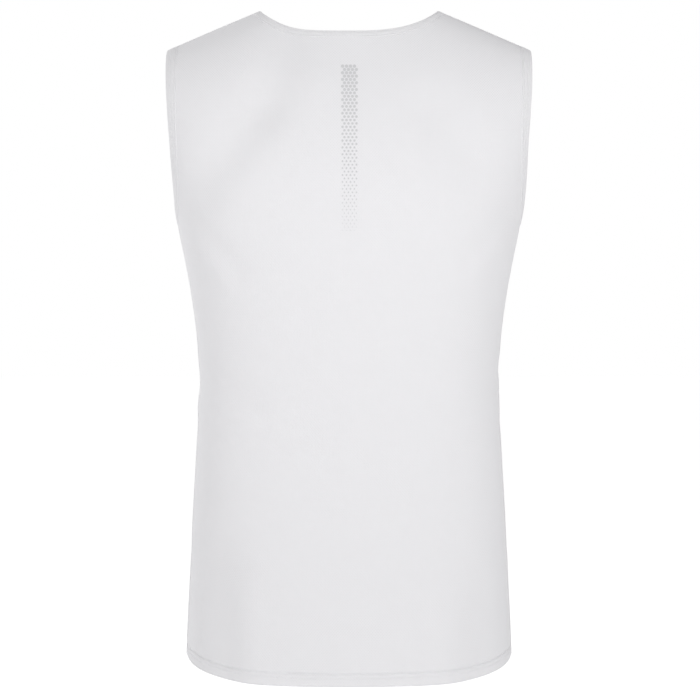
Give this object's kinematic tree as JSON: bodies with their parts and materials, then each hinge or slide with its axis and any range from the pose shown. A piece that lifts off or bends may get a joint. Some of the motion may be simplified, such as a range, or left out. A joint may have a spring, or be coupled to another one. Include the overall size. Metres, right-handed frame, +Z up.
{
  "type": "sleeveless base layer",
  "caption": "Sleeveless, round-necked base layer of fine white mesh knit, filled out as worn, with bound neck and armholes, side and shoulder seams and a turned-up hem.",
  "frame": {"origin": "midway between the two neck points, where the shoulder seams meet the neck binding; the garment hangs below it", "axes": "+Z up along the body, +Y out of the garment's front, so its back faces -Y, and +X towards the wearer's right"},
  "size_m": [0.3518, 0.2311, 0.6404],
  "materials": {
    "mesh_knit": "matt white mesh knit",
    "binding_knit": "matt white plain knit"
  },
  "bodies": {
    "root": {"back_panel": "mesh_knit", "front_panel": "mesh_knit", "neck_binding": "binding_knit", "armhole_binding_right": "binding_knit", "armhole_binding_left": "binding_knit"}
  },
  "joints": []
}
